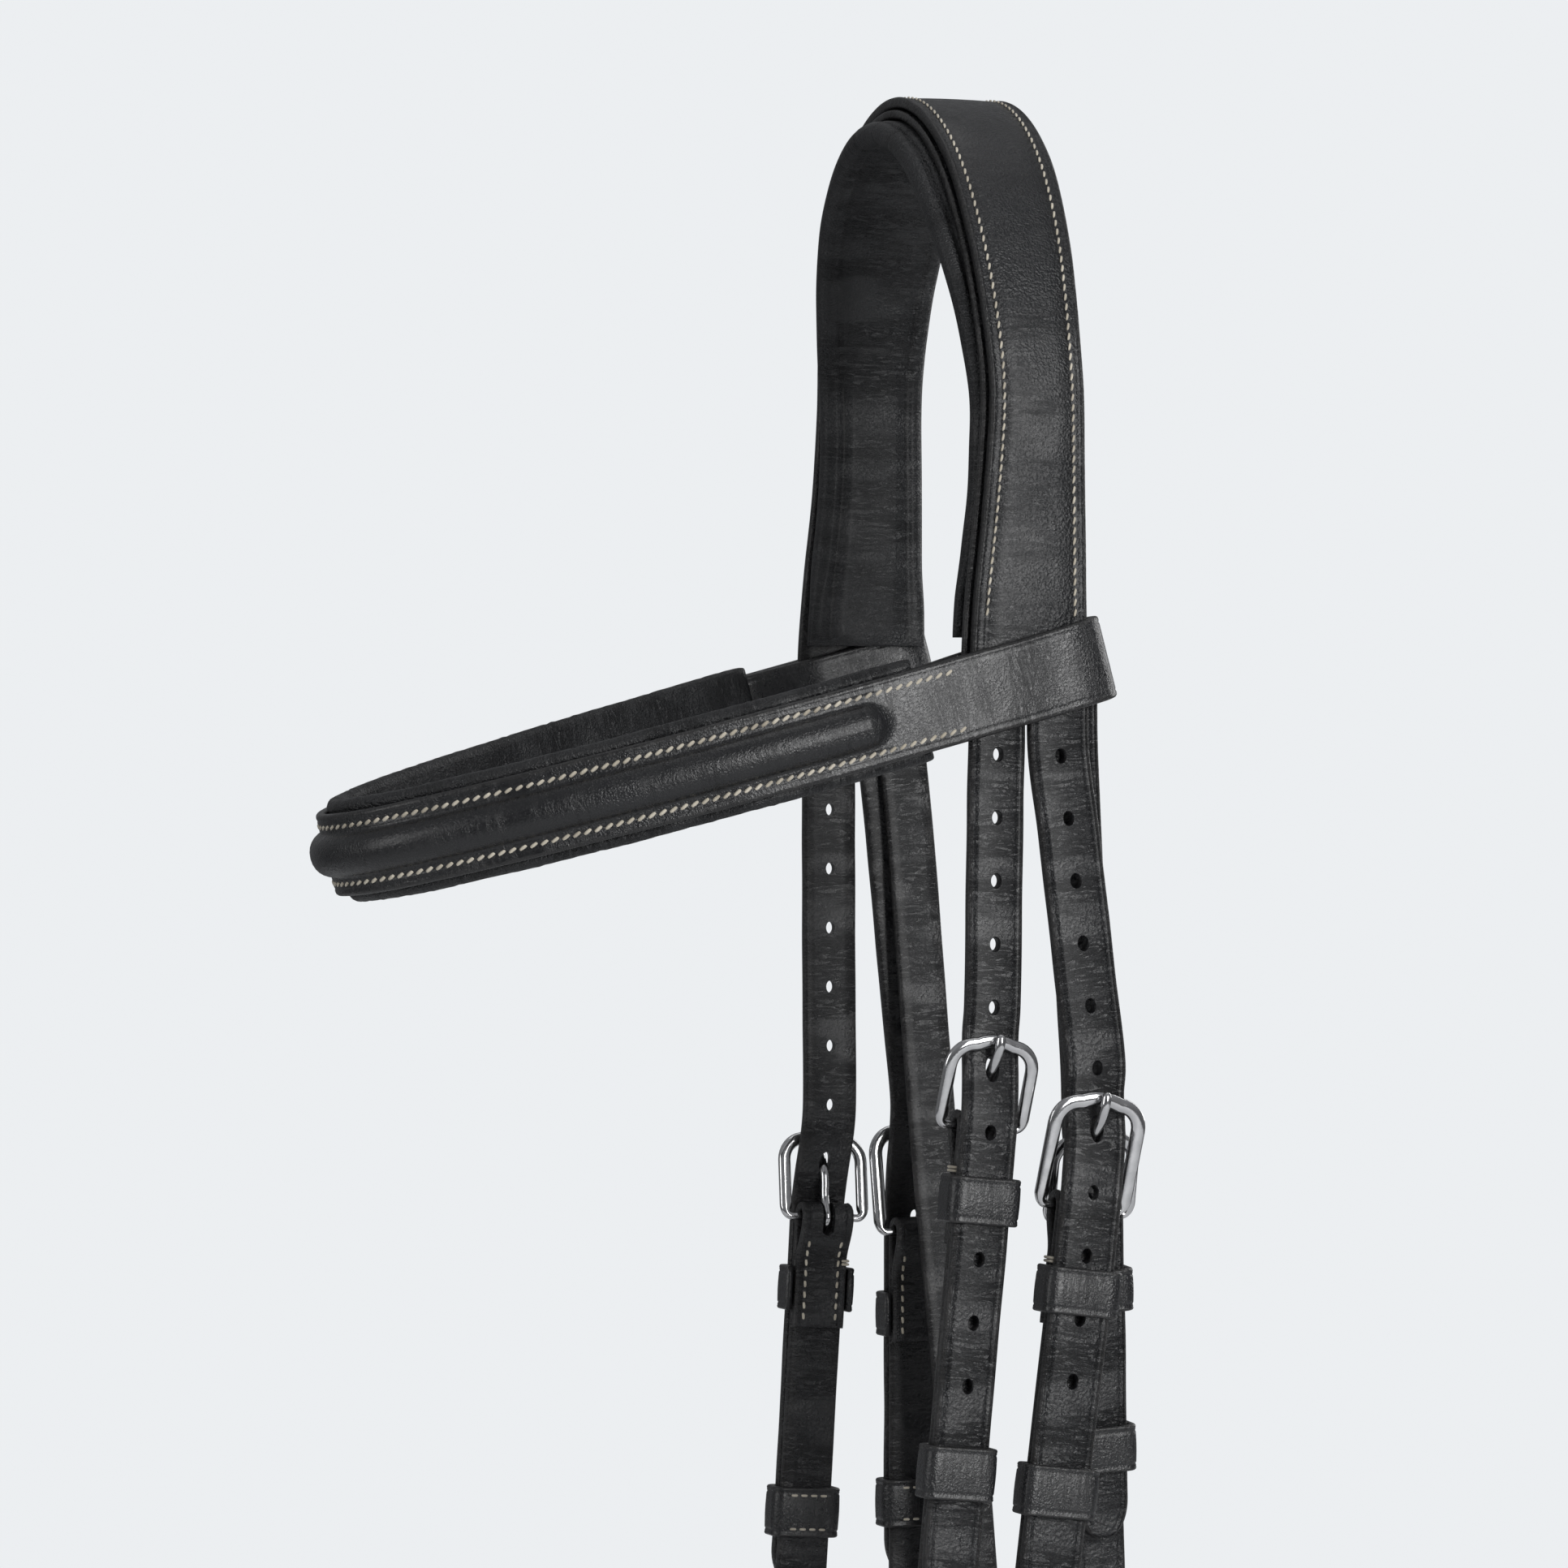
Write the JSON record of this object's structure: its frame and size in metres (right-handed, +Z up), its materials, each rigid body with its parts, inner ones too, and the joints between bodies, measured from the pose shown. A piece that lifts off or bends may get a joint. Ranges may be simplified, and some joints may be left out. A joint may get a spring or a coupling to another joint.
{
  "type": "snaffle bridle",
  "caption": "Horse bridle of flat black straps: padded headpiece and browband, buckled cheekpieces with loops for a bit, a padded noseband and a throat loop.",
  "frame": {"origin": "middle of the underside of the headpiece pad at the crown, where the bridle rests on the poll or on a hook", "axes": "-X towards the horse's nose, -Y its near (left) side, +Z up"},
  "size_m": [0.2677, 0.1418, 0.5059],
  "materials": {
    "strap_leather": "black bridle leather, waxed satin, fine pebbled grain",
    "soft_lining": "soft black lining leather over padding",
    "polished_steel": "polished stainless steel",
    "cream_thread": "waxed cream linen thread"
  },
  "bodies": {
    "head": {"headpiece_strap": "strap_leather", "headpiece_pad": "soft_lining", "throat_strap_crown": "strap_leather", "browband_strap": "strap_leather", "browband_pad": "soft_lining", "near_rear_point": "strap_leather", "near_nose_hanger": "strap_leather", "near_nose_buckle": "polished_steel", "near_nose_keeper": "strap_leather", "far_rear_point": "strap_leather", "far_nose_hanger": "strap_leather", "far_nose_buckle": "polished_steel", "far_nose_keeper": "strap_leather", "noseband_strap": "strap_leather", "noseband_pad": "soft_lining", "chin_buckle_tab": "strap_leather", "chin_buckle": "polished_steel", "chin_keeper": "strap_leather", "chin_strap": "strap_leather"},
    "near_cheek": {"near_front_point": "strap_leather", "near_cheekpiece": "strap_leather", "near_cheek_buckle": "polished_steel", "near_cheek_keeper": "strap_leather", "near_cheek_stud": "polished_steel", "near_cheek_bit_keeper": "strap_leather"},
    "far_cheek": {"far_front_point": "strap_leather", "far_cheekpiece": "strap_leather", "far_cheek_buckle": "polished_steel", "far_cheek_keeper": "strap_leather", "far_cheek_stud": "polished_steel", "far_cheek_bit_keeper": "strap_leather"},
    "throat_loop": {"throat_point": "strap_leather", "throat_loop_strap": "strap_leather", "throat_buckle": "polished_steel", "throat_keeper": "strap_leather"},
    "near_cheek_tongue": {"near_cheek_tongue": "polished_steel"},
    "near_cheek_runner": {"near_cheek_runner": "strap_leather"},
    "far_cheek_tongue": {"far_cheek_tongue": "polished_steel"},
    "far_cheek_runner": {"far_cheek_runner": "strap_leather"},
    "near_nose_tongue": {"near_nose_tongue": "polished_steel"},
    "near_nose_runner": {"near_nose_runner": "strap_leather"},
    "far_nose_tongue": {"far_nose_tongue": "polished_steel"},
    "far_nose_runner": {"far_nose_runner": "strap_leather"},
    "throat_tongue": {"throat_tongue": "polished_steel"},
    "throat_runner": {"throat_runner": "strap_leather"},
    "chin_tongue": {"chin_tongue": "polished_steel"},
    "chin_runner": {"chin_runner": "strap_leather"}
  },
  "joints": [
    {"name": "near_cheek_swing", "type": "hinge", "parent": "head", "child": "near_cheek", "pos_m": [-0.0088, -0.0618, -0.1558], "axis": [-1, 0, 0], "range_deg": [0, 15]},
    {"name": "far_cheek_swing", "type": "hinge", "parent": "head", "child": "far_cheek", "pos_m": [-0.0088, 0.0618, -0.1558], "axis": [1, 0, 0], "range_deg": [0, 15]},
    {"name": "throat_loop_swing", "type": "hinge", "parent": "head", "child": "throat_loop", "pos_m": [0.013, 0, -0.1558], "axis": [0, -1, 0], "range_deg": [0, 3]},
    {"name": "near_cheek_tongue_turn", "type": "hinge", "parent": "near_cheek", "child": "near_cheek_tongue", "pos_m": [-0.013, -0.061, -0.2533], "axis": [0.9954, 0, -0.0958], "range_deg": [0, 2]},
    {"name": "near_cheek_runner_slide", "type": "slide", "parent": "near_cheek", "child": "near_cheek_runner", "axis": [-0.0958, 0, -0.9954], "range_m": [-0.04, 0.03]},
    {"name": "far_cheek_tongue_turn", "type": "hinge", "parent": "far_cheek", "child": "far_cheek_tongue", "pos_m": [-0.0086, 0.061, -0.2838], "axis": [-0.9982, 0, 0.0593], "range_deg": [0, 2]},
    {"name": "far_cheek_runner_slide", "type": "slide", "parent": "far_cheek", "child": "far_cheek_runner", "axis": [-0.0593, 0, -0.9982], "range_m": [-0.035, 0.02]},
    {"name": "near_nose_tongue_turn", "type": "hinge", "parent": "head", "child": "near_nose_tongue", "pos_m": [0.0147, -0.061, -0.2743], "axis": [0.9925, 0, -0.1219], "range_deg": [0, 2]},
    {"name": "near_nose_runner_slide", "type": "slide", "parent": "head", "child": "near_nose_runner", "axis": [-0.1219, 0, -0.9925], "range_m": [-0.03, 0.02]},
    {"name": "far_nose_tongue_turn", "type": "hinge", "parent": "head", "child": "far_nose_tongue", "pos_m": [0.0194, 0.061, -0.2883], "axis": [-1, 0, 0], "range_deg": [0, 2]},
    {"name": "far_nose_runner_slide", "type": "slide", "parent": "head", "child": "far_nose_runner", "axis": [0, 0, -1], "range_m": [-0.03, 0.02]},
    {"name": "throat_tongue_turn", "type": "hinge", "parent": "throat_loop", "child": "throat_tongue", "pos_m": [0.0225, -0.0474, -0.2778], "axis": [0.9988, 0, 0.0499], "range_deg": [0, 2]},
    {"name": "throat_runner_slide", "type": "slide", "parent": "throat_loop", "child": "throat_runner", "axis": [0.0498, 0.0697, -0.9963], "range_m": [-0.02, 0.02]},
    {"name": "chin_tongue_turn", "type": "hinge", "parent": "head", "child": "chin_tongue", "pos_m": [0.05559, -0.04249, -0.39699], "axis": [0.1392, 0, -0.9903], "range_deg": [0, 2]},
    {"name": "chin_runner_slide", "type": "slide", "parent": "head", "child": "chin_runner", "axis": [-0.9368, -0.324, -0.1317], "range_m": [-0.002, 0.003]}
  ]
}
